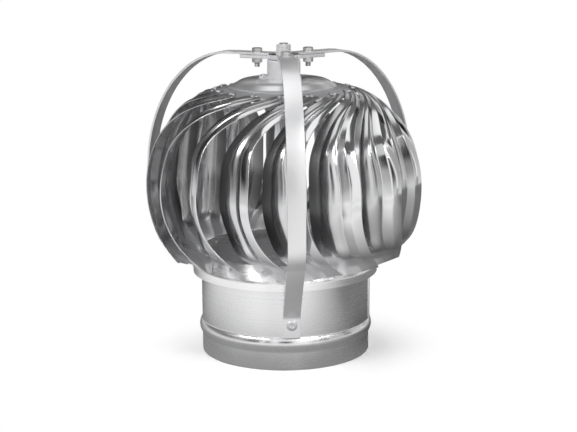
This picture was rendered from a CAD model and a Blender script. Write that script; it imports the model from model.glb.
"""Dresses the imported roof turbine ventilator: steel vanes, collar, straps, hub and studio."""

import logging
import math
from dataclasses import dataclass, field
from enum import Enum

import bmesh
import bpy
from mathutils import Matrix, Vector


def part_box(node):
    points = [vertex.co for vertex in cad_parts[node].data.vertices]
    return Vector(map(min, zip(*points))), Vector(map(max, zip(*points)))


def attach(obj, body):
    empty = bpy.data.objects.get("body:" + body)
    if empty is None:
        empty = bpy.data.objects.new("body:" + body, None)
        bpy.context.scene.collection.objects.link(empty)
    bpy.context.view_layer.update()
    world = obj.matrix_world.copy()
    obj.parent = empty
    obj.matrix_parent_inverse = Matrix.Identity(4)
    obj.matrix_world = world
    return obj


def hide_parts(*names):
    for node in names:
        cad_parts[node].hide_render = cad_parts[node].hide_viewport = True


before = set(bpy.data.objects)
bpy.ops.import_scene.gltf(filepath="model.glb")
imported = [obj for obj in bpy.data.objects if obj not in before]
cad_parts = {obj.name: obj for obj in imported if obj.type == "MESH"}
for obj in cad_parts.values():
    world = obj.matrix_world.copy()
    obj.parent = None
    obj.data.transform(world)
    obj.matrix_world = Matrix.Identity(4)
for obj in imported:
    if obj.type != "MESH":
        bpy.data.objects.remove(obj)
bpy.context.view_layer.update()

LOG = logging.getLogger("ventilator")
MM = 0.001
SHEET_UV = "Sheet"
SHARP_ANGLE = math.radians(32)
RING_STEPS = 192
FRAME_BODY = "frame"
ROTOR_BODY = "rotor"
SPIN_AXIS = Vector((0, 0, 1))
SAME_PLACE = 1e-6

COLLAR_RADIUS = 75.0 * MM
LEG_AZIMUTHS = {"front": -85.8, "right": 34.2, "left": 154.2}
STRAP_THICKNESS = 2.0 * MM
ARM_TOP = 263.5 * MM
RIM_RADIUS = 64.5 * MM
RIM_HEIGHT = 232.6 * MM
PLATE_SLOPE = 11.0
EQUATOR_HEIGHT = 152.0 * MM

BALL_MIDDLE = (0, 0, EQUATOR_HEIGHT)
CLOUD_SCALE = 26.0
WAVE_SCALE = 14.0
WAVE_DISTANCE = 6.0 * MM
GRAIN_DISTANCE = 0.2 * MM
GLOSS_NOISE = (0.6, 1.4)
LEAST_ROUGHNESS = 0.02
SOILED_DEPTHS = (94.0 * MM, 117.0 * MM)
SOILED_HEIGHTS = (137.0 * MM, 147.0 * MM)
CLEAN_FOOT_HEIGHTS = (100.0 * MM, 114.0 * MM)
CLEAN_FOOT_TONE = 1.12
WORN_FOOT_HEIGHTS = (98.0 * MM, 108.0 * MM)
DUSTY_DEPTHS = (96.0 * MM, 116.0 * MM)
DUST_ROUGHNESS = 0.26

Socket = bpy.types.NodeSocket


# ---------------------------------------------------------------- node trees
class Graph:
    """One node tree, with short ways to add to it."""

    def __init__(self, owner: bpy.types.Material | bpy.types.World) -> None:
        owner.use_nodes = True
        self.nodes = owner.node_tree.nodes
        self.links = owner.node_tree.links

    def feed(self, socket: Socket, value: Socket | float | tuple) -> None:
        """Links an output to an input, or sets the input's own value.

        Args:
            socket: The input.
            value: An output, or a plain value.
        """
        if isinstance(value, Socket):
            self.links.new(value, socket)
        else:
            socket.default_value = value

    def add(self, kind: str, output: str, inputs: dict, **settings: str) -> Socket:
        """Adds one node.

        Args:
            kind: The node's type, without its first word.
            output: Name of the output that is wanted.
            inputs: What goes into its inputs, by name or number.
            settings: Its other settings.

        Returns:
            The output.
        """
        node = self.nodes.new("ShaderNode" + kind)
        for name, value in settings.items():
            setattr(node, name, value)
        for name, value in inputs.items():
            self.feed(node.inputs[name], value)
        return node.outputs[output]

    def maths(self, operation: str, first: Socket, second: Socket) -> Socket:
        """Adds arithmetic on two outputs and returns its own."""
        return self.add("Math", "Value", {0: first, 1: second}, operation=operation)

    def ramp(self, value: Socket, low_high: tuple, start_end: tuple, smooth: bool = False) -> Socket:
        """Adds a ramp from one range of values to another.

        Args:
            value: The value to map.
            low_high: The two ends of its range.
            start_end: What they become.
            smooth: Whether the ramp eases in and out.

        Returns:
            The mapped value.
        """
        names = ("From Min", "From Max", "To Min", "To Max")
        inputs = {"Value": value, **dict(zip(names, (*low_high, *start_end)))}
        kind = "SMOOTHSTEP" if smooth else "LINEAR"
        return self.add("MapRange", "Result", inputs, interpolation_type=kind)

    def noise(self, vector: Socket, scale: float, detail: float) -> Socket:
        """Adds a noise texture with a scale and a number of finer layers."""
        return self.add("TexNoise", "Fac", {"Vector": vector, "Scale": scale, "Detail": detail})

    def object_place(self) -> Socket:
        """Adds the coordinates of the piece itself."""
        return self.add("TexCoord", "Object", {})

    def height(self, place: Socket) -> Socket:
        """Adds the height of a place."""
        return self.add("SeparateXYZ", "Z", {"Vector": place})

    def blend(self, share: Socket, first: Socket, second: Socket) -> Socket:
        """Adds a mix of two shaders and returns it."""
        return self.add("MixShader", "Shader", {"Fac": share, 1: first, 2: second})


# ---------------------------------------------------------------- finishes
class Grain(Enum):
    """Which way the fine lines of a finish run, as the stretch of its coordinates."""

    ALONG_SHEET = (14.0, 900.0, 1.0)
    ROUND = (5.0, 5.0, 1300.0)
    CAST = (700.0, 700.0, 700.0)


@dataclass(frozen=True)
class Finish:
    """A metal finish and the node material that shows it."""

    name: str
    slot: str
    tone: tuple[float, float, float]
    roughness: float
    roughness_spread: float
    grain: Grain
    grain_depth: float
    mottle: float = 0.06
    waves: float = 0.0
    soil: float = 0.0
    soil_above: float = 0.84
    satin_feet: float = 0.0

    def grain_vector(self, graph: Graph, place: Socket) -> Socket:
        """Adds the stretched coordinates that the grain is drawn in.

        Args:
            graph: The material's node tree.
            place: Its object coordinates.

        Returns:
            The vector to feed a noise texture.
        """
        if self.grain is Grain.ALONG_SHEET:
            place = graph.add("UVMap", "UV", {}, uv_map=SHEET_UV)
        return graph.add("Mapping", "Vector", {"Vector": place, "Scale": self.grain.value})

    def soil_share(self, graph: Graph, height: Socket, reach: Socket) -> Socket:
        """Adds the share of the tone that dirt leaves, which falls off inwards but not at the feet.

        Args:
            graph: The material's node tree.
            height: The height on the piece.
            reach: The distance from the middle of the ball of vanes.

        Returns:
            The share: 1 on the ball's skin and less deep inside.
        """
        least = (1.0 - self.soil, 1.0 - self.soil * self.soil_above)
        deep = graph.ramp(height, SOILED_HEIGHTS, least, smooth=True)
        share = graph.ramp(reach, SOILED_DEPTHS, (deep, 1.0), smooth=True)
        feet = graph.ramp(height, CLEAN_FOOT_HEIGHTS, (CLEAN_FOOT_TONE, 0.0))
        return graph.maths("MAXIMUM", share, feet)

    def wear(self, graph: Graph, height: Socket, reach: Socket) -> Socket:
        """Adds the roughness of the handled feet and of the dusty sheet deep inside.

        Args:
            graph: The material's node tree.
            height: The height on the piece.
            reach: The distance from the middle of the ball of vanes.

        Returns:
            What to add to the roughness: nothing on the ball's skin.
        """
        feet = graph.ramp(height, WORN_FOOT_HEIGHTS, (self.satin_feet, 0.0))
        dust = graph.ramp(reach, DUSTY_DEPTHS, (self.soil * DUST_ROUGHNESS, 0.0))
        return graph.maths("MAXIMUM", feet, dust)

    def relief(self, graph: Graph, lines: Socket, swell: Socket) -> Socket:
        """Adds the fine lines and the slow waves of the sheet.

        Args:
            graph: The material's node tree.
            lines: Height of the lines.
            swell: Height of the waves.

        Returns:
            The normal.
        """
        sway = {"Strength": self.waves, "Distance": WAVE_DISTANCE, "Height": swell}
        normal = graph.add("Bump", "Normal", sway)
        scratch = {"Strength": self.grain_depth, "Distance": GRAIN_DISTANCE, "Height": lines}
        return graph.add("Bump", "Normal", {**scratch, "Normal": normal})

    def material(self) -> bpy.types.Material:
        """Builds the node material, or returns it if it is there already.

        Returns:
            The material of this finish.
        """
        made = bpy.data.materials.get(self.name)
        if made is not None:
            return made
        made = bpy.data.materials.new(self.name)
        graph = Graph(made)
        shader = graph.nodes["Principled BSDF"].inputs
        graph.feed(shader["Metallic"], 1.0)
        place = graph.object_place()
        height = graph.height(place)
        inward = {0: place, 1: BALL_MIDDLE}
        inward = graph.add("VectorMath", "Vector", inward, operation="SUBTRACT")
        reach = graph.add("VectorMath", "Value", {0: inward}, operation="LENGTH")
        lines = graph.noise(self.grain_vector(graph, place), 1.0, 3.0)
        clouds = graph.noise(place, CLOUD_SCALE, 4.0)
        swell = graph.noise(place, WAVE_SCALE, 1.0)

        shade = tuple(part * (1 - self.mottle) for part in self.tone)
        mix = {"A": (*shade, 1.0), "B": (*self.tone, 1.0), "Factor": clouds}
        tint = graph.add("Mix", "Result", mix, data_type="RGBA")
        soiled = {0: tint, "Scale": self.soil_share(graph, height, reach)}
        tint = graph.add("VectorMath", "Vector", soiled, operation="SCALE")
        graph.feed(shader["Base Color"], tint)

        both = graph.maths("ADD", lines, clouds)
        least = max(LEAST_ROUGHNESS, self.roughness - self.roughness_spread)
        gloss = graph.ramp(both, GLOSS_NOISE, (least, self.roughness + self.roughness_spread))
        gloss = graph.maths("ADD", gloss, self.wear(graph, height, reach))
        graph.feed(shader["Roughness"], gloss)
        graph.feed(shader["Normal"], self.relief(graph, lines, swell))
        return made

    def dress(self, piece: bpy.types.Object) -> None:
        """Puts the finish on a piece in place of what it has.

        Args:
            piece: A mesh object of the ventilator.
        """
        piece.data.materials.clear()
        piece.data.materials.append(self.material())


VANE_STEEL = Finish(
    "bright_rolled_sheet", "polished_sheet", (0.84, 0.84, 0.85), 0.12, 0.04,
    Grain.ALONG_SHEET, 0.02, waves=0.004, soil=0.95, satin_feet=0.32,
)
RING_STEEL = Finish(
    "bright_foot_ring", "polished_sheet", (0.93, 0.93, 0.94), 0.28, 0.06,
    Grain.ROUND, 0.04,
)
PLATE_STEEL = Finish(
    "satin_rolled_plate", "polished_sheet", (0.60, 0.60, 0.61), 0.40, 0.08,
    Grain.CAST, 0.10,
)
SPUN_STEEL = Finish(
    "bright_spun_sheet", "polished_sheet", (0.88, 0.88, 0.89), 0.33, 0.06,
    Grain.ROUND, 0.05, waves=0.01,
)
COLLAR_STEEL = Finish(
    "satin_collar_sheet", "collar_steel", (0.84, 0.84, 0.85), 0.25, 0.10,
    Grain.ROUND, 0.025, mottle=0.12, waves=0.0,
)
STRAP_STEEL = Finish(
    "satin_strap", "strap_steel", (0.88, 0.88, 0.89), 0.40, 0.08,
    Grain.ALONG_SHEET, 0.14, waves=0.03,
)
RIVET_STEEL = Finish(
    "rivet_steel", "rivet_steel", (0.60, 0.60, 0.61), 0.18, 0.08, Grain.CAST, 0.10
)
CAST_ZINC = Finish(
    "cast_zinc", "cast_zinc", (0.84, 0.84, 0.85), 0.36, 0.10, Grain.CAST, 0.22
)
ZINC_PLATE = Finish(
    "zinc_plated_fastener", "zinc_hardware", (0.70, 0.70, 0.69), 0.28, 0.09, Grain.CAST, 0.12
)
RACE_STEEL = Finish(
    "ground_bearing_steel", "bearing_steel", (0.80, 0.80, 0.82), 0.12, 0.04, Grain.ROUND, 0.04
)
CAGE_BRASS = Finish(
    "pressed_cage_brass", "cage_brass", (0.72, 0.56, 0.28), 0.32, 0.08, Grain.CAST, 0.10
)
SPRING_STEEL = Finish(
    "dark_spring_steel", "spring_steel", (0.30, 0.30, 0.32), 0.38, 0.08, Grain.CAST, 0.12
)


# ---------------------------------------------------------------- shared shaping
def polar(radius: float, azimuth: float, height: float) -> Vector:
    """Returns a point from a radius, an azimuth in degrees and a height."""
    turn = math.radians(azimuth)
    return Vector((radius * math.cos(turn), radius * math.sin(turn), height))


def corners(*spots: tuple[float, float]) -> list[Vector]:
    """Returns flat points from pairs of numbers."""
    return [Vector(spot) for spot in spots]


def rounded(points: list[Vector], radii: list[float], steps: int = 6) -> list[Vector]:
    """Rounds the inner corners of an open path.

    Args:
        points: Corner points of the path, ends included.
        radii: How far back from each inner corner its curve starts.
        steps: Points on each curve, less one.

    Returns:
        The path's points, always the same number for the same corners and steps.
    """
    path = [points[0]]
    for before, corner, after, reach in zip(points, points[1:], points[2:], radii):
        start = corner + (before - corner).normalized() * min(reach, (before - corner).length / 2)
        end = corner + (after - corner).normalized() * min(reach, (after - corner).length / 2)
        for step in range(steps + 1):
            share = step / steps
            path.append(start.lerp(corner, share).lerp(corner.lerp(end, share), share))
    return path + [points[-1]]


def arc_between(start: Vector, through: Vector, end: Vector, steps: int) -> list[Vector]:
    """Returns points on the smooth curve from start to end that passes through a point.

    Args:
        start: First point.
        through: Point that the curve passes half way.
        end: Last point.
        steps: Points on the curve, less one.
    """
    control = through * 2 - (start + end) / 2
    points = []
    for step in range(steps + 1):
        share = step / steps
        points.append(start.lerp(control, share).lerp(control.lerp(end, share), share))
    return points


def sheet_outline(path: list[Vector], thickness: float) -> list[Vector]:
    """Closed outline of a sheet from its middle line.

    Args:
        path: Middle line as 2-D points.
        thickness: Thickness of the sheet.

    Returns:
        One side of the sheet from start to end, and the other side back.
    """
    ahead, behind = [], []
    for index, point in enumerate(path):
        before = path[max(index - 1, 0)]
        after = path[min(index + 1, len(path) - 1)]
        run = (after - before).normalized()
        side = Vector((-run.y, run.x)) * thickness / 2
        ahead.append(point + side)
        behind.append(point - side)
    return ahead + behind[::-1]


def natural_spline(knots: list[float], points: list[Vector], shares: list[float]) -> list[Vector]:
    """Points of the smooth curve that passes through given points.

    Args:
        knots: Rising parameter of each given point.
        points: The given points.
        shares: Rising parameters to work out.

    Returns:
        One point for each share.
    """
    last = len(points) - 1
    gaps = [knots[index + 1] - knots[index] for index in range(last)]
    pull = [0.0] * (last + 1)
    bend = [Vector((0, 0, 0))] * (last + 1)
    for index in range(1, last):
        slope_after = (points[index + 1] - points[index]) / gaps[index]
        slope_before = (points[index] - points[index - 1]) / gaps[index - 1]
        pivot = 2 * (gaps[index - 1] + gaps[index]) - gaps[index - 1] * pull[index - 1]
        pull[index] = gaps[index] / pivot
        bend[index] = (6 * (slope_after - slope_before) - gaps[index - 1] * bend[index - 1]) / pivot
    for index in range(last - 1, 0, -1):
        bend[index] = bend[index] - pull[index] * bend[index + 1]
    curve, span = [], 0
    for share in shares:
        while span < last - 1 and share > knots[span + 1]:
            span += 1
        gap = gaps[span]
        up = (share - knots[span]) / gap
        down = 1 - up
        point = points[span] * down + points[span + 1] * up
        point += ((down**3 - down) * bend[span] + (up**3 - up) * bend[span + 1]) * gap**2 / 6
        curve.append(point)
    return curve


def mark_edges(work: bmesh.types.BMesh) -> None:
    """Merges seams, turns faces outwards and keeps only true corners sharp.

    Args:
        work: Mesh under construction.
    """
    bmesh.ops.remove_doubles(work, verts=work.verts, dist=SAME_PLACE)
    bmesh.ops.recalc_face_normals(work, faces=work.faces)
    for face in work.faces:
        face.smooth = True
    for edge in work.edges:
        edge.smooth = edge.calc_face_angle(0.0) < SHARP_ANGLE


def finished(work: bmesh.types.BMesh, name: str) -> bpy.types.Object:
    """Turns a bmesh into an object of the scene.

    Args:
        work: Mesh under construction, freed here.
        name: Name of the piece.

    Returns:
        The new object, at the origin.
    """
    mark_edges(work)
    mesh = bpy.data.meshes.new(name)
    work.to_mesh(mesh)
    work.free()
    piece = bpy.data.objects.new(name, mesh)
    bpy.context.scene.collection.objects.link(piece)
    return piece


def turned(line: list[Vector], steps: int, closed: bool) -> bmesh.types.BMesh:
    """Turns a line once round the axis.

    Args:
        line: The line's (radius, height) points.
        steps: Segments of the turn.
        closed: Whether its last point is joined to its first.

    Returns:
        The turned skin.
    """
    work = bmesh.new()
    spots = [work.verts.new((point.x, 0, point.y)) for point in line]
    follows = spots[1:] + spots[:1] if closed else spots[1:]
    for start, end in zip(spots, follows):
        work.edges.new((start, end))
    bmesh.ops.spin(
        work, geom=work.verts[:] + work.edges[:], cent=(0, 0, 0), axis=SPIN_AXIS,
        angle=math.tau, steps=steps, use_merge=True,
    )
    return work


def spun(outline: list[Vector], steps: int = RING_STEPS) -> bmesh.types.BMesh:
    """Turns a closed outline of (radius, height) points into a closed ring."""
    return turned(outline, steps, True)


def capped_spin(profile: list[Vector], steps: int) -> bmesh.types.BMesh:
    """Turns an open profile, whose ends may lie on the axis, into a closed body."""
    work = turned(profile, steps, False)
    bmesh.ops.remove_doubles(work, verts=work.verts, dist=SAME_PLACE)
    bmesh.ops.holes_fill(work, edges=[edge for edge in work.edges if edge.is_boundary])
    return work


def skinned(rows: list[list[Vector]]) -> bmesh.types.BMesh:
    """Skins closed sections with a grid and closes the two ends.

    Args:
        rows: Sections in order, each a closed loop with the same number of points.

    Returns:
        The closed body, with the sheet's own UV map: U along, V round.
    """
    along, around = len(rows) - 1, len(rows[0])
    work = bmesh.new()
    bmesh.ops.create_grid(work, x_segments=along, y_segments=around, size=1)
    spread = work.loops.layers.uv.new(SHEET_UV)
    for face in work.faces:
        for loop in face.loops:
            loop[spread].uv = ((loop.vert.co.x + 1) / 2, (loop.vert.co.y + 1) / 2)
    for vert in work.verts:
        row = round((vert.co.x + 1) / 2 * along)
        column = round((vert.co.y + 1) / 2 * around) % around
        vert.co = rows[row][column]
    bmesh.ops.remove_doubles(work, verts=work.verts, dist=SAME_PLACE / 10)
    ends = [edge for edge in work.edges if edge.is_boundary]
    bmesh.ops.holes_fill(work, edges=ends, sides=0)
    return work


def joined(parts: list[bmesh.types.BMesh]) -> bmesh.types.BMesh:
    """Gathers several bodies in one mesh.

    Args:
        parts: Bodies to gather; all but the result are freed.

    Returns:
        One bmesh that holds them all.
    """
    whole = bmesh.new()
    for part in parts:
        carrier = bpy.data.meshes.new("carrier")
        part.to_mesh(carrier)
        whole.from_mesh(carrier)
        part.free()
        bpy.data.meshes.remove(carrier)
    return whole


def moved(part: bmesh.types.BMesh, place: Matrix) -> bmesh.types.BMesh:
    """Returns a copy of a body at a place.

    Args:
        part: Body to copy.
        place: Where the copy goes.
    """
    copy = part.copy()
    bmesh.ops.transform(copy, matrix=place, verts=copy.verts)
    return copy


def copies(part: bmesh.types.BMesh, places: list[Matrix]) -> list[bmesh.types.BMesh]:
    """Returns a copy of a body at each place, and frees the body.

    Args:
        part: Body to copy.
        places: Where the copies go.
    """
    made = [moved(part, place) for place in places]
    part.free()
    return made


def round_places(count: int, start: float) -> list[Matrix]:
    """Returns evenly spaced turns about the axis.

    Args:
        count: How many places.
        start: Azimuth of the first, in degrees.
    """
    return [
        Matrix.Rotation(math.radians(start) + math.tau * index / count, 4, SPIN_AXIS)
        for index in range(count)
    ]


def placed(origin: Vector, outward: Vector) -> Matrix:
    """Returns a frame whose Z points outward at a point.

    Args:
        origin: The frame's origin.
        outward: Direction of its Z.
    """
    turn = outward.to_track_quat("Z", "Y").to_matrix().to_4x4()
    return Matrix.Translation(origin) @ turn


def fit(piece: bpy.types.Object, finish: Finish, body: str, *nodes: str) -> None:
    """Dresses a new piece, ties it to its body and lets it stand for CAD nodes.

    Args:
        piece: The new piece.
        finish: Its finish.
        body: Body that it moves with.
        nodes: CAD nodes that it stands for.
    """
    finish.dress(piece)
    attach(piece, body)
    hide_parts(*nodes)
    LOG.info("%s: %d faces, rides on %s", piece.name, len(piece.data.polygons), body)


# ---------------------------------------------------------------- fasteners
@dataclass
class Hexagon:
    """A hexagonal head or nut with a turned chamfer."""

    flats: float
    height: float
    bore: float = 0.0
    chamfer_share: float = 0.96
    chamfer_slope: float = math.radians(30)
    steps: int = 48

    def ring(self, azimuth: float, chamfered: bool) -> tuple[float, float]:
        """Radius of the hexagon at an azimuth and how far its chamfer drops there.

        Args:
            azimuth: Azimuth in radians.
            chamfered: Whether the chamfer cuts it.

        Returns:
            Radius and drop.
        """
        third = math.pi / 3
        lean = (azimuth + third / 2) % third - third / 2
        radius = self.flats / 2 / math.cos(lean)
        start = self.flats / 2 * self.chamfer_share
        return radius, (radius - start) * math.tan(self.chamfer_slope) if chamfered else 0.0

    def body(self) -> bmesh.types.BMesh:
        """Builds the hexagon standing on Z = 0.

        Returns:
            The closed body, with its bore if it has one.
        """
        start = self.flats / 2 * self.chamfer_share
        edge = self.flats / 2
        profile = corners(
            (self.bore, self.height), (start, self.height), (edge, self.height), (edge, 0),
            (self.bore, 0),
        )
        work = spun(profile, self.steps) if self.bore else capped_spin(profile, self.steps)
        for vert in work.verts:
            if math.hypot(vert.co.x, vert.co.y) < start + (self.flats / 2 - start) / 2:
                continue
            azimuth = math.atan2(vert.co.y, vert.co.x)
            top = vert.co.z > self.height / 2
            radius, drop = self.ring(azimuth, top)
            height = vert.co.z - drop
            vert.co = Vector((radius * math.cos(azimuth), radius * math.sin(azimuth), height))
        return work


@dataclass
class Thread:
    """A threaded rod along Z."""

    radius: float
    pitch: float
    length: float
    depth_share: float = 0.5
    around: int = 32
    rows_per_pitch: int = 6

    def body(self) -> bmesh.types.BMesh:
        """Builds the rod from Z = 0 down to minus its length.

        Returns:
            The closed rod with one helical ridge.
        """
        count = max(2, round(self.length / self.pitch * self.rows_per_pitch))
        rows = []
        for row in range(count + 1):
            height = -self.length * row / count
            loop = []
            for step in range(self.around):
                turn = math.tau * step / self.around
                phase = (height / self.pitch + step / self.around) % 1
                ridge = abs(2 * phase - 1)
                radius = self.radius - self.pitch * self.depth_share * (1 - ridge)
                loop.append(Vector((radius * math.cos(turn), radius * math.sin(turn), height)))
            rows.append(loop)
        return skinned(rows)


CROWN_SHARES = ((0.5, 1.0), (0.76, 0.86), (0.93, 0.6), (1.0, 0.28), (1.0, 0.0))
DIMPLE_SHARE = 0.36
CREST_END = 0.6
ROOT = 0.8
TAIL_SHARES = (1.5, 1.4)


@dataclass(frozen=True)
class RivetHead:
    """A domed rivet or screw head, with the pin and closed end below it."""

    radius: float
    height: float
    shank: float
    grip: float
    tail: float
    dimple: float
    steps: int

    def body(self) -> bmesh.types.BMesh:
        """Builds the rivet along Z, head above Z = 0.

        Returns:
            The closed rivet.
        """
        inner, low = self.height - self.dimple, -self.grip - self.tail
        crown = [(self.radius * out, self.height * up) for out, up in CROWN_SHARES]
        lower = [(self.shank, 0), (self.shank, -self.grip)]
        lower += [(self.shank * TAIL_SHARES[0], -self.grip), (self.shank * TAIL_SHARES[1], low)]
        upper = [(0, inner), (self.radius * DIMPLE_SHARE, inner)]
        return capped_spin(corners(*upper, *crown, *lower, (0, low)), self.steps)


FOOT_GRIP = STRAP_THICKNESS + 1.0 * MM
FOOT_RIVET = RivetHead(4.7 * MM, 1.8 * MM, 2.4 * MM, FOOT_GRIP, 1.2 * MM, 0.5 * MM, 40)
PLATE_RIVET = RivetHead(1.7 * MM, 0.7 * MM, 1.0 * MM, 2.3 * MM, 0.9 * MM, 0.0, 14)
TAB_RIVET = RivetHead(2.9 * MM, 1.3 * MM, 1.6 * MM, 2.4 * MM, 0.9 * MM, 0.0, 24)
EAR_SCREW = RivetHead(2.8 * MM, 1.7 * MM, 1.5 * MM, 5.0 * MM, 1.0 * MM, 0.5 * MM, 20)


# ---------------------------------------------------------------- stationary pieces
@dataclass
class Collar:
    """Rolled spigot collar with its bead, plain lip and lock seam."""

    radius: float = COLLAR_RADIUS
    height: float = 83.0 * MM
    wall: float = 0.8 * MM
    bead_height: float = 22.8 * MM
    bead_half_width: float = 6.2 * MM
    bead_rise: float = 2.4 * MM
    bead_root: float = 1.6 * MM
    bead_steps: int = 16
    seam_azimuth: float = -6.0
    seam_width: float = 7.0 * MM
    seam_rise: float = 0.9 * MM
    seam_round: float = 0.5 * MM

    def middle_line(self) -> list[Vector]:
        """Returns the wall's middle line from the lower edge to the top."""
        middle = self.radius - self.wall / 2
        low = self.bead_height - self.bead_half_width
        high = self.bead_height + self.bead_half_width
        crest = Vector((middle + self.bead_rise, self.bead_height))
        bead = arc_between(Vector((middle, low)), crest, Vector((middle, high)), self.bead_steps)
        root = Vector((0, self.bead_root))
        lower = rounded([bead[0] - root, bead[0], bead[2]], [self.bead_root], 4)
        upper = rounded([bead[-3], bead[-1], bead[-1] + root], [self.bead_root], 4)
        return [Vector((middle, 0))] + lower[:-1] + bead[2:-2] + upper[1:] + [
            Vector((middle, self.height))
        ]

    def seam(self) -> bmesh.types.BMesh:
        """Builds the folded lock seam above the bead.

        Returns:
            The closed seam strip, in place.
        """
        low = self.bead_height + self.bead_half_width
        inner = self.radius - self.wall / 2
        outer = self.radius + self.seam_rise
        half = self.seam_width / 2
        ring = corners((inner, -half), (outer, -half), (outer, half), (inner, half))
        ring = rounded(ring, [self.seam_round] * 2, 4)
        ends = (low, self.height)
        strip = skinned([[Vector((*spot, end)) for spot in ring] for end in ends])
        turn = Matrix.Rotation(math.radians(self.seam_azimuth), 4, SPIN_AXIS)
        bmesh.ops.transform(strip, matrix=turn, verts=strip.verts)
        return strip

    def build(self) -> None:
        """Builds and dresses the collar."""
        shell = spun(sheet_outline(self.middle_line(), self.wall))
        piece = finished(joined([shell, self.seam()]), "collar_shell")
        fit(piece, COLLAR_STEEL, FRAME_BODY, "base_collar")


@dataclass
class StrapLegs:
    """Three flat strap legs, with a rivet in each foot."""

    azimuths: dict[str, float] = field(default_factory=lambda: LEG_AZIMUTHS)
    collar_radius: float = COLLAR_RADIUS
    width: float = 15.0 * MM
    thickness: float = STRAP_THICKNESS
    edge_round: float = 0.45 * MM
    foot_gap: float = 0.05 * MM
    foot_low: float = 29.7 * MM
    foot_length: float = 19.0 * MM
    rivet_share: float = 0.58
    joggle_out: float = 12.5 * MM
    joggle_rise: float = 15.3 * MM
    reach: float = 136.5 * MM
    knee_height: float = 115.0 * MM
    bow_height: float = 153.0 * MM
    top_flat_end: float = 52.0 * MM
    inner_end: float = 11.0 * MM
    arm_top: float = ARM_TOP
    joggle_bend: float = 3.0 * MM
    knee_bend: float = 11.0 * MM
    bow_steps: int = 48

    def path(self) -> list[Vector]:
        """Returns the strap's middle line from its foot to its inner end, as (radius, height)."""
        foot = self.collar_radius + self.foot_gap + self.thickness / 2
        foot_top = self.foot_low + self.foot_length
        top = self.arm_top + self.thickness / 2
        lower = corners(
            (foot, self.foot_low),
            (foot, foot_top),
            (foot + self.joggle_out, foot_top + self.joggle_rise),
            (self.reach, self.knee_height),
            (self.reach, self.bow_height),
        )
        lower = rounded(lower, [self.joggle_bend, self.joggle_bend, self.knee_bend], 8)
        out, rise = self.reach - self.top_flat_end, top - self.bow_height
        bow = []
        for step in range(1, self.bow_steps + 1):
            turn = math.pi / 2 * step / self.bow_steps
            across, up = self.top_flat_end, self.bow_height
            bow.append((across + out * math.cos(turn), up + rise * math.sin(turn)))
        return lower + corners(*bow, (self.inner_end, top))

    def body(self) -> bmesh.types.BMesh:
        """Builds one strap in the XZ plane.

        Returns:
            The closed strap with rounded edges.
        """
        path = self.path()
        half_w, half_t = self.width / 2, self.thickness / 2
        loop = corners(
            (0, -half_t), (half_w, -half_t), (half_w, half_t), (-half_w, half_t),
            (-half_w, -half_t), (0, -half_t),
        )
        ring = rounded(loop, [self.edge_round] * 4, 3)[1:]
        rows = []
        for index, point in enumerate(path):
            run = (path[min(index + 1, len(path) - 1)] - path[max(index - 1, 0)]).normalized()
            out = Vector((run.y, -run.x))
            row = []
            for spot in ring:
                row.append(Vector((point.x + out.x * spot.y, spot.x, point.y + out.y * spot.y)))
            rows.append(row)
        return skinned(rows)

    def build(self) -> None:
        """Builds and dresses the straps and their foot rivets."""
        strap = self.body()
        outer = self.collar_radius + self.foot_gap + self.thickness
        height = self.foot_low + self.foot_length * self.rivet_share
        spot = placed(Vector((outer, 0, height)), Vector((1, 0, 0)))
        turns = {}
        for side, azimuth in self.azimuths.items():
            turns[side] = Matrix.Rotation(math.radians(azimuth), 4, SPIN_AXIS)
            piece = finished(moved(strap, turns[side]), f"strap_{side}")
            fit(piece, STRAP_STEEL, FRAME_BODY, f"leg_{side}")
        strap.free()
        rivets = copies(FOOT_RIVET.body(), [turn @ spot for turn in turns.values()])
        fit(finished(joined(rivets), "foot_rivet_heads"), RIVET_STEEL, FRAME_BODY, "foot_rivets")


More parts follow.
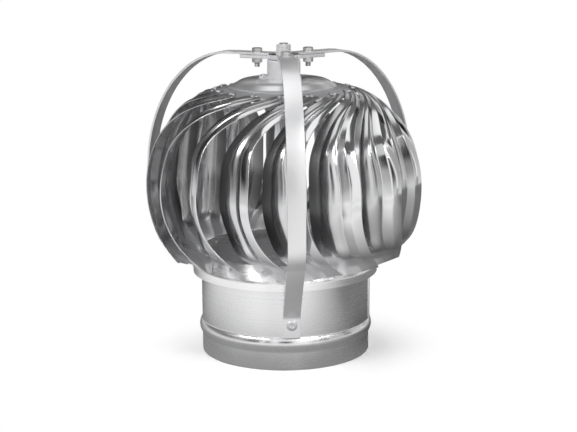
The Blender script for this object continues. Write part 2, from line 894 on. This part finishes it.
@dataclass
class Spider:
    """Three-armed spider with its boss, its bolts and the fixed spindle."""

    azimuths: tuple[float, ...] = tuple(LEG_AZIMUTHS.values())
    arm_top: float = ARM_TOP
    arm_thickness: float = 3.5 * MM
    arm_width: float = 13.0 * MM
    arm_length: float = 40.0 * MM
    disc_radius: float = 12.5 * MM
    boss_radius: float = 6.4 * MM
    boss_height: float = 9.5 * MM
    boss_sunk: float = 0.2 * MM
    threads: int = 3
    thread_pitch: float = 1.5 * MM
    thread_depth: float = 0.35 * MM
    last_ridge_inset: float = 0.1 * MM
    bolt_circle: float = 26.0 * MM
    bolt_radius: float = 2.5 * MM
    bolt_pitch: float = 0.8 * MM
    head_flats: float = 8.0 * MM
    head_height: float = 3.5 * MM
    nut_height: float = 4.0 * MM
    bolt_tail: float = 3.6 * MM
    strap: float = STRAP_THICKNESS
    spindle_radius: float = 4.0 * MM
    spindle_pitch: float = 1.25 * MM
    bore_play: float = 0.02 * MM
    spindle_stand_out: float = 1.0 * MM
    spindle_head_flats: float = 13.0 * MM
    spindle_head_height: float = 5.3 * MM
    soft_edge: float = 0.5 * MM
    steps: int = 96

    def arm(self) -> bmesh.types.BMesh:
        """Builds one arm along X.

        Returns:
            The arm with softened cast edges.
        """
        work = bmesh.new()
        bmesh.ops.create_cube(work, size=1)
        size = Matrix.Diagonal((self.arm_length, self.arm_width, self.arm_thickness, 1))
        centre = (self.arm_length / 2, 0, self.arm_top - self.arm_thickness / 2)
        bmesh.ops.transform(work, matrix=Matrix.Translation(centre) @ size, verts=work.verts)
        bmesh.ops.bevel(
            work, geom=work.edges[:], offset=self.soft_edge, affect="EDGES", segments=3,
            profile=0.5, material=-1,
        )
        return work

    def hub(self) -> bmesh.types.BMesh:
        """Builds the disc and the threaded boss.

        Returns:
            Disc and boss as closed bodies.
        """
        low = self.arm_top - self.arm_thickness
        edge = self.soft_edge
        bore = self.spindle_radius + self.bore_play
        rim = self.disc_radius
        disc = corners((bore, low), (rim, low), (rim, self.arm_top), (bore, self.arm_top))
        disc = rounded(disc, [edge, edge], 3)
        top = self.arm_top + self.boss_height
        sunk = self.arm_top - self.boss_sunk
        boss = [
            (bore, sunk),
            (self.boss_radius + edge, sunk),
            (self.boss_radius + edge, self.arm_top),
            (self.boss_radius, self.arm_top + edge),
        ]
        height = top - edge - self.threads * self.thread_pitch
        for _ in range(self.threads):
            boss.append((self.boss_radius, height))
            boss.append((self.boss_radius, height + self.thread_pitch * CREST_END))
            boss.append((self.boss_radius - self.thread_depth, height + self.thread_pitch * ROOT))
            height += self.thread_pitch
        boss.append((self.boss_radius - self.last_ridge_inset, height))
        boss += [(self.boss_radius - edge, top), (bore, top)]
        return joined([spun(disc, self.steps), spun(corners(*boss), self.steps)])

    def build(self) -> None:
        """Builds and dresses the spider, its bolts and nuts, and the spindle."""
        turns = [Matrix.Rotation(math.radians(turn), 4, SPIN_AXIS) for turn in self.azimuths]
        parts = copies(self.arm(), turns) + [self.hub()]
        fit(finished(joined(parts), "spider_casting"), CAST_ZINC, FRAME_BODY, "spider_hub")
        self.build_bolts(turns)
        self.build_spindle()

    def build_bolts(self, turns: list[Matrix]) -> None:
        """Builds and dresses the bolts and nuts that hold the straps to the arms.

        Args:
            turns: The arms' turns about the axis.
        """
        low = self.arm_top - self.arm_thickness
        head = Hexagon(self.head_flats, self.head_height).body()
        rod = self.strap + self.arm_thickness + self.nut_height + self.bolt_tail
        shank = Thread(self.bolt_radius, self.bolt_pitch, rod).body()
        nut = Hexagon(self.head_flats, self.nut_height, self.bolt_radius).body()
        seat = Matrix.Translation((self.bolt_circle, 0, self.arm_top + self.strap))
        under = Matrix.Translation((self.bolt_circle, 0, low)) @ Matrix.Rotation(math.pi, 4, "X")
        bolts = copies(joined([head, shank]), [turn @ seat for turn in turns])
        nuts = copies(nut, [turn @ under for turn in turns])
        fit(finished(joined(bolts), "arm_bolt_set"), ZINC_PLATE, FRAME_BODY, "arm_bolts")
        fit(finished(joined(nuts), "arm_nut_set"), ZINC_PLATE, FRAME_BODY, "arm_nuts")

    def build_spindle(self) -> None:
        """Builds and dresses the spindle: a threaded rod with a hexagon head below."""
        top = self.arm_top + self.boss_height + self.spindle_stand_out
        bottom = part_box("spindle_bolt")[0][2]
        length = top - bottom - self.spindle_head_height
        rod = Thread(self.spindle_radius, self.spindle_pitch, length).body()
        head = Hexagon(self.spindle_head_flats, self.spindle_head_height).body()
        parts = copies(rod, [Matrix.Translation((0, 0, top))])
        parts += copies(head, [Matrix.Translation((0, 0, bottom))])
        fit(finished(joined(parts), "spindle_rod"), ZINC_PLATE, FRAME_BODY, "spindle_bolt")


# ---------------------------------------------------------------- rotor head
@dataclass
class RotorHead:
    """Bearing cup, pressed dome and top plate."""

    rim_radius: float = RIM_RADIUS
    rim_height: float = RIM_HEIGHT
    plate_slope: float = PLATE_SLOPE
    plate_sheet: float = 0.8 * MM
    fold_inset: float = 2.0 * MM
    lip_width: float = 0.8 * MM
    lip_slope: float = 72.0
    lip_bend: float = 0.9 * MM
    under_dome: float = 4.0 * MM
    dome_radius: float = 46.0 * MM
    shoulder_radius: float = 37.0 * MM
    dome_rise: float = 6.0 * MM
    centre_rise: float = 0.8 * MM
    dome_flange: float = 3.5 * MM
    dome_sheet: float = 0.8 * MM
    centre_hole: float = 10.5 * MM
    base_bend: float = 1.4 * MM
    shoulder_bend: float = 5.0 * MM
    centre_bend: float = 2.0 * MM
    flat_margin: float = 1.0 * MM
    lap_gap: float = 0.12 * MM
    housing_radius: float = 14.6 * MM
    cup_foot_bend: float = 0.3 * MM
    cup_rim_bend: float = 1.1 * MM
    cup_steps: int = 128
    bore: float = 11.0 * MM
    housing_top: float = 259.5 * MM
    flange: float = 1.8 * MM
    ear_circle: float = 17.8 * MM
    ear_radius: float = 4.2 * MM
    ear_azimuth: float = 188.0
    ear_root: float = 1.12
    ears: int = 3

    def slope(self) -> float:
        """Returns the plate's rise for each unit inwards."""
        return math.tan(math.radians(self.plate_slope))

    def plate_height(self, radius: float) -> float:
        """Returns the height of the plate's upper face at a radius."""
        return self.rim_height + (self.rim_radius - radius) * self.slope()

    def dome_base(self) -> float:
        """Returns the height of the dome's upper face at its foot."""
        return self.plate_height(self.dome_radius) + self.dome_sheet + self.lap_gap

    def dome_top(self) -> float:
        """Returns the height of the dome's flat centre."""
        return self.dome_base() + self.dome_rise + self.centre_rise

    def plate(self) -> bmesh.types.BMesh:
        """Builds the top plate with its turned-down rim."""
        half = self.plate_sheet / 2
        inner = self.dome_radius - self.under_dome
        fold = self.rim_radius - self.fold_inset
        drop = self.lip_width * math.tan(math.radians(self.lip_slope))
        line = corners(
            (inner, self.plate_height(inner) - half),
            (fold, self.plate_height(fold) - half),
            (fold + self.lip_width, self.plate_height(fold) - half - drop),
        )
        return spun(sheet_outline(rounded(line, [self.lip_bend]), self.plate_sheet))

    def dome(self) -> bmesh.types.BMesh:
        """Builds the pressed dome."""
        base = self.dome_base() - self.dome_sheet / 2
        crest = base + self.dome_rise
        top = crest + self.centre_rise
        line = corners(
            (self.dome_radius + self.dome_flange, base - self.dome_flange * self.slope()),
            (self.dome_radius, base),
            (self.shoulder_radius, crest),
            (self.ear_circle + self.ear_radius + self.flat_margin, top),
            (self.centre_hole, top),
        )
        bends = [self.base_bend, self.shoulder_bend, self.centre_bend]
        return spun(sheet_outline(rounded(line, bends, 12), self.dome_sheet))

    def ear(self) -> bmesh.types.BMesh:
        """Builds one flange ear along X, standing on Z = 0."""
        work = bmesh.new()
        bmesh.ops.create_circle(work, cap_ends=True, radius=self.ear_radius, segments=48)
        for vert in work.verts:
            if vert.co.x < 0:
                side = vert.co.y if abs(vert.co.y) > SAME_PLACE else 0
                vert.co.x = self.bore * self.ear_root - self.ear_circle
                vert.co.y = math.copysign(self.ear_radius, side) if side else 0
        bmesh.ops.remove_doubles(work, verts=work.verts, dist=SAME_PLACE)
        risen = bmesh.ops.extrude_face_region(work, geom=work.faces[:])
        tops = [part for part in risen["geom"] if isinstance(part, bmesh.types.BMVert)]
        bmesh.ops.translate(work, vec=(0, 0, self.flange), verts=tops)
        bmesh.ops.translate(work, vec=(self.ear_circle, 0, 0), verts=work.verts)
        return work

    def housing(self) -> bmesh.types.BMesh:
        """Builds the bearing cup with its ears."""
        low, high = self.dome_top(), self.housing_top
        wall = self.housing_radius
        cup = corners((self.bore, low), (wall, low), (wall, high), (self.bore, high))
        cup = rounded(cup, [self.cup_foot_bend, self.cup_rim_bend], 5)
        lift = Matrix.Translation((0, 0, low))
        turns = round_places(self.ears, self.ear_azimuth)
        ears = copies(self.ear(), [turn @ lift for turn in turns])
        return joined([spun(cup, self.cup_steps)] + ears)

    def build(self) -> None:
        """Builds and dresses the rotor's head."""
        fit(finished(self.plate(), "plate_ring"), PLATE_STEEL, ROTOR_BODY, "top_plate")
        fit(finished(self.dome(), "pressed_dome"), SPUN_STEEL, ROTOR_BODY, "dome_cap")
        fit(finished(self.housing(), "bearing_cup"), CAST_ZINC, ROTOR_BODY, "bearing_housing")
        spot = Matrix.Translation((self.ear_circle, 0, self.dome_top() + self.flange))
        turns = round_places(self.ears, self.ear_azimuth)
        screws = copies(EAR_SCREW.body(), [turn @ spot for turn in turns])
        fit(finished(joined(screws), "housing_screw_set"), ZINC_PLATE, ROTOR_BODY, "housing_screws")


# ---------------------------------------------------------------- vanes
@dataclass
class Ball:
    """The ball that the vanes' outer edges lie on, and their swirl round it."""

    radius: float = 122.0 * MM
    equator: float = EQUATOR_HEIGHT
    rim_radius: float = RIM_RADIUS
    rim_height: float = RIM_HEIGHT
    top_swirl: float = 41.0
    top_start: float = 25.0
    top_power: float = 2.2
    low_latitude: float = 31.0
    low_swirl: float = 18.7
    low_power: float = 2.3

    def arc(self) -> float:
        """Returns the radius of the shoulder's arc."""
        span = self.radius - self.rim_radius
        rise = self.rim_height - self.equator
        return (span**2 + rise**2) / (2 * span)

    def rim_angle(self) -> float:
        """Returns the angle of the rim above the equator, in degrees."""
        return math.degrees(math.asin((self.rim_height - self.equator) / self.arc()))

    def swirl(self, angle: float) -> float:
        """Returns how far round an outer edge has turned at an angle above the equator."""
        if angle > self.top_start:
            share = (angle - self.top_start) / (self.rim_angle() - self.top_start)
            return self.top_swirl * share**self.top_power
        if angle < 0:
            return self.low_swirl * (-angle / self.low_latitude) ** self.low_power
        return 0.0

    def point(self, angle: float) -> tuple[Vector, Vector]:
        """Outer edge point and outward normal at an angle above the equator.

        Args:
            angle: Angle above the equator, in degrees.

        Returns:
            The point and the ball's normal there.
        """
        lean = math.radians(angle)
        arc = self.arc() if angle >= 0 else self.radius
        radius = self.radius - arc + arc * math.cos(lean)
        height = self.equator + arc * math.sin(lean)
        turn = self.swirl(angle)
        return polar(radius, turn, height), polar(math.cos(lean), turn, math.sin(lean))


@dataclass
class FootSeat:
    """The bottom ring: a short skirt, and the cone that the vanes' feet lie on."""

    radius: float = 82.4 * MM
    low: float = 72.0 * MM
    skirt: float = 7.0 * MM
    cone_radius: float = 74.6 * MM
    cone_rise: float = 13.0 * MM
    sheet: float = 0.8 * MM
    bend: float = 1.6 * MM
    lap: float = 0.55 * MM

    def cone_normal(self, azimuth: float) -> Vector:
        """Returns the cone's outward normal at an azimuth."""
        lean = math.atan2(self.radius - self.cone_radius, self.cone_rise)
        return polar(math.cos(lean), azimuth, math.sin(lean))

    def cone_point(self, share: float, azimuth: float, lift: float) -> Vector:
        """Point over the cone.

        Args:
            share: Share of the cone's height.
            azimuth: Azimuth in degrees.
            lift: Distance out from the cone.

        Returns:
            The point.
        """
        radius = self.radius + (self.cone_radius - self.radius) * share
        height = self.low + self.skirt + self.cone_rise * share
        return polar(radius, azimuth, height) + self.cone_normal(azimuth) * lift

    def build(self) -> None:
        """Builds and dresses the bottom ring."""
        half = self.sheet / 2
        break_height = self.low + self.skirt
        line = corners(
            (self.radius - half, self.low),
            (self.radius - half, break_height),
            (self.cone_radius - half, break_height + self.cone_rise),
        )
        outline = sheet_outline(rounded(line, [self.bend]), self.sheet)
        piece = finished(spun(outline), "foot_ring")
        fit(piece, RING_STEEL, ROTOR_BODY, "bottom_ring")


@dataclass
class Section:
    """One cross-section of a vane."""

    origin: Vector
    across: Vector
    outward: Vector
    bend: Vector
    tip: Vector
    relief: float

    def space(self, spot: Vector) -> Vector:
        """Returns a point of the section's plane in space."""
        return self.origin + self.across * spot.x + self.outward * spot.y


@dataclass
class Vanes:
    """Sixteen swirled vanes, each with a creased and hemmed lip."""

    count: int = 16
    azimuth: float = -103.6
    sheet: float = 0.5 * MM
    lip_width: float = 17.0 * MM
    lip_share: float = 0.4
    crease_share: float = 0.5
    foot_rise: float = 0.7 * MM
    crest_rise: float = 3.0 * MM
    edge_rise: float = 1.0 * MM
    crown: float = 2.6 * MM
    crease_round: float = 1.0 * MM
    hem: float = 3.0 * MM
    hem_share: float = 0.5
    fold: float = 0.27 * MM
    fold_steps: int = 6
    tab: float = 9.0 * MM
    tab_share: float = 0.3
    tab_turn: float = 8.5
    rim_lift: float = 0.87 * MM
    top_width: float = 11.5 * MM
    top_relief: float = 0.05
    run_step: float = 0.2
    face_steps: int = 18
    rows: int = 132
    ball: Ball = field(default_factory=Ball)
    seat: FootSeat = field(default_factory=FootSeat)
    plate_slope: float = PLATE_SLOPE
    upper: tuple = (
        (0.94, 12.0, 0.0, 0.25),
        (0.82, 15.5, 7.0, 0.55),
        (0.65, 26.0, 24.0, 0.8),
        (0.43, 37.0, 36.0, 1.0),
        (0.2, 43.0, 41.0, 1.0),
    )
    lower: tuple = (
        (0.15, 43.5, 41.0, 1.0, 0.0),
        (0.48, 43.0, 40.0, 1.0, -6.0),
        (0.72, 41.5, 37.0, 0.9, -12.0),
    )
    feet: tuple = ((0.9, 0.8, 0.72, -4.0), (0.95, 0.75, 0.43, -2.0), (1.0, 0.7, 0.1, 0.0))
    top_spots: tuple = ((1.6, 6.4), (4.6, 9.0))
    head_gap: float = 0.05 * MM

    def along(self, angle: float) -> Vector:
        """Returns the outer edge's running direction at an angle."""
        step = self.run_step
        return self.ball.point(angle - step)[0] - self.ball.point(angle + step)[0]

    def free_section(
        self, angle: float, width: float, lean: float, relief: float, skew: float = 0.0
    ) -> Section:
        """Cross-section square to the outer edge.

        Args:
            angle: Angle above the equator, in degrees.
            width: Width of the vane.
            lean: How far its inner edge leans in, in degrees.
            relief: Share of the full lip relief.
            skew: Turn of the section about the ball's normal, in degrees.

        Returns:
            The section.
        """
        point, normal = self.ball.point(angle)
        if angle >= self.ball.rim_angle():
            swirl = self.ball.swirl(angle)
            slope = math.radians(90 - self.plate_slope)
            normal = polar(math.cos(slope), swirl, math.sin(slope))
            point = point + normal * self.rim_lift
        run = self.along(angle)
        run = (run - normal * run.dot(normal)).normalized()
        run = Matrix.Rotation(math.radians(skew), 3, normal) @ run
        turn = math.radians(lean)
        across = normal.cross(run) * math.cos(turn) + normal * math.sin(turn)
        tab = min(self.tab, width * self.tab_share)
        outward = run.cross(across)
        return Section(
            point, across, outward, Vector((tab - width, 0)), Vector((-width, 0)), relief
        )

    def foot_section(self, share: float, relief: float, rise: float, tip_azimuth: float) -> Section:
        """Cross-section whose inner tab lies on the cone.

        Args:
            share: Share of the lowest latitude.
            relief: Share of the full lip relief.
            rise: Share of the cone's height.
            tip_azimuth: Azimuth of the tab's tip, in degrees.

        Returns:
            The section.
        """
        point, _ = self.ball.point(-self.ball.low_latitude * share)
        lift = self.sheet / 2 + self.seat.lap
        bend = self.seat.cone_point(rise, tip_azimuth + self.tab_turn, lift)
        tip = self.seat.cone_point(rise, tip_azimuth, lift)
        across = (point - bend).normalized()
        run = across.cross(tip - bend).normalized()
        outward = run.cross(across)
        flat = [
            Vector(((spot - point).dot(across), (spot - point).dot(outward)))
            for spot in (bend, tip)
        ]
        return Section(point, across, outward, flat[0], flat[1], relief)

    def sections(self) -> list[Section]:
        """Returns the sections from the top plate down to the ring."""
        top = self.ball.rim_angle()
        made = [self.free_section(top, self.top_width, 0, self.top_relief)]
        for share, width, lean, relief in self.upper:
            made.append(self.free_section(top * share, width * MM, lean, relief))
        for share, width, lean, relief, skew in self.lower:
            angle = -self.ball.low_latitude * share
            made.append(self.free_section(angle, width * MM, lean, relief, skew))
        return made + [self.foot_section(*foot) for foot in self.feet]

    def middle_line(self, section: Section) -> list[Vector]:
        """Middle line of the sheet across a section.

        Args:
            section: The section.

        Returns:
            Points from the tab's tip over the lip and round its hem.
        """
        lip = min(self.lip_width, abs(section.tip.x) * self.lip_share)
        crease = lip * self.crease_share
        foot = Vector((-lip, self.foot_rise * section.relief))
        crest = Vector((-crease, self.crest_rise * section.relief))
        edge = Vector((0, self.edge_rise * section.relief))
        hem = min(self.hem, crease * self.hem_share)
        centre = (section.bend.x - lip) / 2
        crown = Vector((centre, foot.y / 2 + self.crown * section.relief))
        face = arc_between(section.bend, crown, foot, self.face_steps)
        run = (edge - crest).normalized()
        inward = Vector((run.y, -run.x))
        turn_in = edge - run * (self.fold + self.sheet / 2)
        start = rounded([section.tip, section.bend, face[2]], [self.crease_round], 3)
        foot_bend = rounded([face[-3], foot, crest], [self.crease_round], 4)
        crest_bend = rounded([foot, crest, turn_in], [self.crease_round], 6)
        fold = []
        for step in range(self.fold_steps + 1):
            angle = math.pi * step / self.fold_steps
            reach = run * math.sin(angle) + inward * (1 - math.cos(angle))
            fold.append(turn_in + reach * self.fold)
        end = fold[-1] - run * hem
        return start[:-1] + face[2:-2] + foot_bend[1:-1] + crest_bend[1:-1] + fold + [end]

    def body(self) -> bmesh.types.BMesh:
        """Builds one vane with its outer edge at azimuth zero on the equator.

        Returns:
            The closed sheet.
        """
        sections = self.sections()
        loops = []
        for section in sections:
            flat = sheet_outline(self.middle_line(section), self.sheet)
            loops.append([section.space(spot) for spot in flat])
        knots = [0.0]
        for before, after in zip(sections, sections[1:]):
            knots.append(knots[-1] + (after.origin - before.origin).length)
        shares = [knots[-1] * row / self.rows for row in range(self.rows + 1)]
        columns = []
        for column in range(len(loops[0])):
            columns.append(natural_spline(knots, [loop[column] for loop in loops], shares))
        rows = [[column[row] for column in columns] for row in range(self.rows + 1)]
        return skinned(rows)

    def tab_middle(self, section: Section) -> Vector:
        """Returns the middle of a section's inner tab in space."""
        return section.space((section.bend + section.tip) / 2)

    def build(self) -> None:
        """Builds and dresses the vanes and their rivets."""
        vane = self.body()
        turns = round_places(self.count, self.azimuth)
        for index, turn in enumerate(turns):
            name = f"vane_{index + 1:02d}"
            fit(finished(moved(vane, turn), f"swirled_{name}"), VANE_STEEL, ROTOR_BODY, name)
        vane.free()

        sections = self.sections()
        top = sections[0]
        run = top.across.cross(top.outward)
        small, heads = PLATE_RIVET.body(), []
        for ahead, inset in self.top_spots:
            spot = top.origin - top.across * inset * MM + run * ahead * MM
            spot = spot + top.outward * (self.sheet / 2 + self.head_gap)
            heads += [moved(small, turn @ placed(spot, top.outward)) for turn in turns]
        small.free()
        fit(finished(joined(heads), "plate_rivet_heads"), RIVET_STEEL, ROTOR_BODY, "top_rivets")

        middle = (self.tab_middle(sections[-3]) + self.tab_middle(sections[-2])) / 2
        normal = self.seat.cone_normal(math.degrees(math.atan2(middle.y, middle.x)))
        spot = placed(middle + normal * (self.sheet / 2 + self.head_gap), normal)
        heads = copies(TAB_RIVET.body(), [turn @ spot for turn in turns])
        fit(finished(joined(heads), "foot_tab_rivets"), RIVET_STEEL, ROTOR_BODY, "bottom_rivets")


# ---------------------------------------------------------------- carried-over pieces
CARRIED = {
    "hub_spacer": ZINC_PLATE,
    "inner_races": RACE_STEEL,
    "outer_races": RACE_STEEL,
    "bearing_balls": RACE_STEEL,
    "bearing_cages": CAGE_BRASS,
    "bearing_circlip": SPRING_STEEL,
    "housing_nuts": ZINC_PLATE,
}


def dress_carried() -> None:
    """Dresses the bearing's own solids, which keep their CAD shapes."""
    for name, finish in CARRIED.items():
        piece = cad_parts[name]
        finish.dress(piece)
        LOG.info("%s keeps its solid, finish %s", name, finish.name)


# ---------------------------------------------------------------- studio
@dataclass
class Card:
    """An upright card of one grey, beside the object, that only its bright steel sees."""

    azimuth: float
    spread: float
    high: float
    level: float
    low: float = 0.0


@dataclass
class Lamp:
    """A soft square lamp: its azimuth and elevation in degrees, width and watts."""

    azimuth: float
    elevation: float
    size: float
    power: float


def stage_sheet(name: str, place: Matrix, material: bpy.types.Material) -> bpy.types.Object:
    """Adds a flat sheet to the studio.

    Args:
        name: Name of the sheet.
        place: Turn, place and size of a square one unit wide.
        material: Its material.

    Returns:
        The sheet.
    """
    work = bmesh.new()
    bmesh.ops.create_grid(work, x_segments=1, y_segments=1, size=0.5)
    bmesh.ops.transform(work, matrix=place, verts=work.verts)
    mesh = bpy.data.meshes.new(name)
    work.to_mesh(mesh)
    work.free()
    mesh.materials.append(material)
    sheet = bpy.data.objects.new(name, mesh)
    bpy.context.scene.collection.objects.link(sheet)
    return sheet


@dataclass
class Studio:
    """White room, soft lamps, grey and black cards, floor and camera."""

    distance: float = 1.1
    overhead_height: float = 1.3
    overhead: tuple = (("overhead_light", 0.95, 1.1, 0.0), ("overhead_dark", 2.6, 0.10, 0.05))
    floor_levels: tuple[float, float] = (0.52, 1.0)
    floor_reach: tuple[float, float] = (0.10, 0.25)
    floor_bright_side: float = -120.0
    floor_side_reach: tuple[float, float] = (-0.08, 0.24)
    floor_side_levels: tuple[float, float] = (0.20, 1.0)
    floor_patches: float = 3.0
    floor_patch_noise: tuple[float, float] = (0.35, 0.65)
    floor_patch_levels: tuple[float, float] = (0.85, 1.05)
    room_light: float = 0.45
    card_fade: tuple[float, float] = (0.05, 0.34)
    card_foot: float = 0.7
    floor_size: float = 6.0
    floor_gap: float = 0.2 * MM
    floor_tone: tuple = (0.93, 0.93, 0.93, 1)
    floor_roughness: float = 0.9
    white_floor: tuple[float, float] = (0.075, 0.15)
    target: Vector = field(default_factory=lambda: Vector((0, 0, 150.0 * MM)))
    lamps: tuple = (Lamp(-140, 40, 0.9, 20), Lamp(-45, 35, 0.8, 14), Lamp(90, 60, 1.0, 12))
    lamp_reach: float = 1.7
    eye: tuple[float, float, float] = (3.3 * MM, -1257.7 * MM, 391.0 * MM)
    eye_pitch: float = 12.17
    eye_roll: float = -0.37
    sensor_width: float = 36.0
    focal_length: float = 89.84
    clip: tuple[float, float] = (0.01, 50)
    cards: tuple = (
        Card(-90, 17, 0.60, 0.01, 0.26),
        Card(-90, 17, 0.26, 0.36),
        Card(-90, 17, 1.40, 0.70, 0.60),
        Card(-113, 8, 1.10, 0.12),
        Card(-132, 18, 1.10, 0.03),
        Card(-150, 20, 0.90, 0.24),
        Card(-170, 22, 1.20, 0.02),
        Card(168, 24, 1.00, 0.14),
        Card(144, 26, 1.20, 0.03),
        Card(118, 28, 1.20, 0.08),
        Card(90, 30, 1.20, 0.03),
        Card(60, 14, 0.90, 0.30),
        Card(42, 18, 1.20, 0.01),
        Card(20, 18, 0.80, 0.50),
        Card(-1, 16, 1.10, 0.04),
        Card(-20, 16, 0.90, 0.40),
        Card(-39, 15, 1.20, 0.02),
        Card(-54, 10, 0.90, 0.45),
    )

    def camera(self) -> None:
        """Places the camera and makes it the scene's."""
        pitch, roll = math.radians(self.eye_pitch), math.radians(self.eye_roll)
        ahead = Vector((0, math.cos(pitch), -math.sin(pitch)))
        upright = Vector((0, math.sin(pitch), math.cos(pitch)))
        sideways = Vector((1, 0, 0))
        right = sideways * math.cos(roll) + upright * math.sin(roll)
        above = upright * math.cos(roll) - sideways * math.sin(roll)
        turn = Matrix((right, above, -ahead)).transposed().to_4x4()
        lens = bpy.data.cameras.new("camera")
        lens.sensor_width = self.sensor_width
        lens.lens = self.focal_length
        lens.clip_start, lens.clip_end = self.clip
        camera = bpy.data.objects.new("camera", lens)
        camera.matrix_world = Matrix.Translation(self.eye) @ turn
        bpy.context.scene.collection.objects.link(camera)
        bpy.context.scene.camera = camera

    def hang_lamp(self, lamp: Lamp) -> None:
        """Adds one lamp that looks at the object.

        Args:
            lamp: The lamp.
        """
        light = bpy.data.lights.new(f"softbox_{lamp.azimuth:.0f}", "AREA")
        light.shape = "SQUARE"
        light.size = lamp.size
        light.energy = lamp.power
        lean = math.radians(lamp.elevation)
        outward = polar(math.cos(lean), lamp.azimuth, math.sin(lean))
        spot = outward * self.lamp_reach + self.target
        stand = bpy.data.objects.new(light.name, light)
        stand.matrix_world = placed(spot, spot - self.target)
        bpy.context.scene.collection.objects.link(stand)

    def board(self, name: str, place: Matrix, wide: float, tall: float, level: float) -> None:
        """Hangs one board that neither the camera nor matt surfaces see.

        Args:
            name: Name of the board.
            place: Its middle, with Z square to it.
            wide: Its width.
            tall: Its height.
            level: Its grey, as bright steel shows it.
        """
        material = bpy.data.materials.new(name)
        graph = Graph(material)
        height = graph.height(graph.object_place())
        shown = graph.ramp(height, self.card_fade, (self.card_foot, level), smooth=True)
        glow = graph.add("Emission", "Emission", {"Strength": shown})
        graph.feed(graph.nodes["Material Output"].inputs["Surface"], glow)
        board = stage_sheet(name, place @ Matrix.Diagonal((wide, tall, 1, 1)), material)
        board.visible_camera = False
        board.visible_diffuse = False
        board.visible_shadow = False

    def hang_boards(self) -> None:
        """Hangs the upright cards and the overhead boards."""
        for card in self.cards:
            middle = polar(self.distance, card.azimuth, (card.low + card.high) / 2)
            wide = 2 * self.distance * math.tan(math.radians(card.spread / 2))
            place = placed(middle, polar(-1, card.azimuth, 0))
            self.board("card", place, wide, card.high - card.low, card.level)
        for name, size, level, rise in self.overhead:
            above = Matrix.Translation((0, 0, self.overhead_height + rise))
            self.board(name, above, size, size, level)

    def floor_level(self, graph: Graph, place: Socket, reach: Socket) -> Socket:
        """Adds the grey that bright steel sees in the floor: darker close in and behind.

        Args:
            graph: The floor material's node tree.
            place: A place on the floor.
            reach: Its distance from the axis.

        Returns:
            The output that gives the level.
        """
        level = graph.ramp(reach, self.floor_reach, self.floor_levels, smooth=True)
        facing = {0: place, 1: polar(1, self.floor_bright_side, 0)}
        side = graph.add("VectorMath", "Value", facing, operation="DOT_PRODUCT")
        side = graph.ramp(side, self.floor_side_reach, self.floor_side_levels)
        patches = graph.noise(place, self.floor_patches, 1.0)
        patches = graph.ramp(patches, self.floor_patch_noise, self.floor_patch_levels)
        return graph.maths("MULTIPLY", graph.maths("MULTIPLY", level, side), patches)

    def floor(self) -> None:
        """Lays the pale floor, which fades to white away from the object."""
        material = bpy.data.materials.new("pale_floor")
        graph = Graph(material)
        shader = graph.nodes["Principled BSDF"]
        graph.feed(shader.inputs["Base Color"], self.floor_tone)
        graph.feed(shader.inputs["Roughness"], self.floor_roughness)
        place = graph.object_place()
        reach = graph.add("VectorMath", "Value", {0: place}, operation="LENGTH")
        fade = graph.ramp(reach, self.white_floor, (0.0, 1.0), smooth=True)
        seen = graph.add("LightPath", "Is Camera Ray", {})
        glow = graph.add("Emission", "Emission", {})
        shown = graph.blend(graph.maths("MULTIPLY", seen, fade), shader.outputs["BSDF"], glow)
        mirrored = {"Strength": self.floor_level(graph, place, reach)}
        mirrored = graph.add("Emission", "Emission", mirrored)
        shown = graph.blend(graph.add("LightPath", "Is Glossy Ray", {}), shown, mirrored)
        graph.feed(graph.nodes["Material Output"].inputs["Surface"], shown)
        size = Matrix.Diagonal((self.floor_size, self.floor_size, 1, 1))
        stage_sheet("floor", size, material).location.z = -self.floor_gap

    def world(self) -> None:
        """Makes the white surroundings."""
        room = bpy.data.worlds.new("white_room")
        bpy.context.scene.world = room
        graph = Graph(room)
        lit = graph.nodes["Background"]
        white = {"Color": (1, 1, 1, 1), "Strength": 1.0}
        for name, value in {**white, "Strength": self.room_light}.items():
            graph.feed(lit.inputs[name], value)
        shown = graph.add("Background", "Background", white)
        rays = [f"Is {kind} Ray" for kind in ("Camera", "Glossy", "Transmission")]
        camera, glossy, transmitted = (graph.add("LightPath", ray, {}) for ray in rays)
        white_rays = graph.maths("MAXIMUM", graph.maths("MAXIMUM", camera, glossy), transmitted)
        surface = graph.blend(white_rays, lit.outputs["Background"], shown)
        graph.feed(graph.nodes["World Output"].inputs["Surface"], surface)

    def build(self) -> None:
        """Sets up the room, lamps, cards, floor and camera."""
        self.camera()
        self.world()
        self.floor()
        for lamp in self.lamps:
            self.hang_lamp(lamp)
        self.hang_boards()
        bpy.context.scene.view_settings.view_transform = "Standard"


def main() -> None:
    """Builds every sub-assembly in order, then the studio."""
    logging.basicConfig(level=logging.INFO, format="%(name)s: %(message)s")
    Collar().build()
    StrapLegs().build()
    Spider().build()
    RotorHead().build()
    FootSeat().build()
    Vanes().build()
    dress_carried()
    Studio().build()


if __name__ == "__main__":
    main()
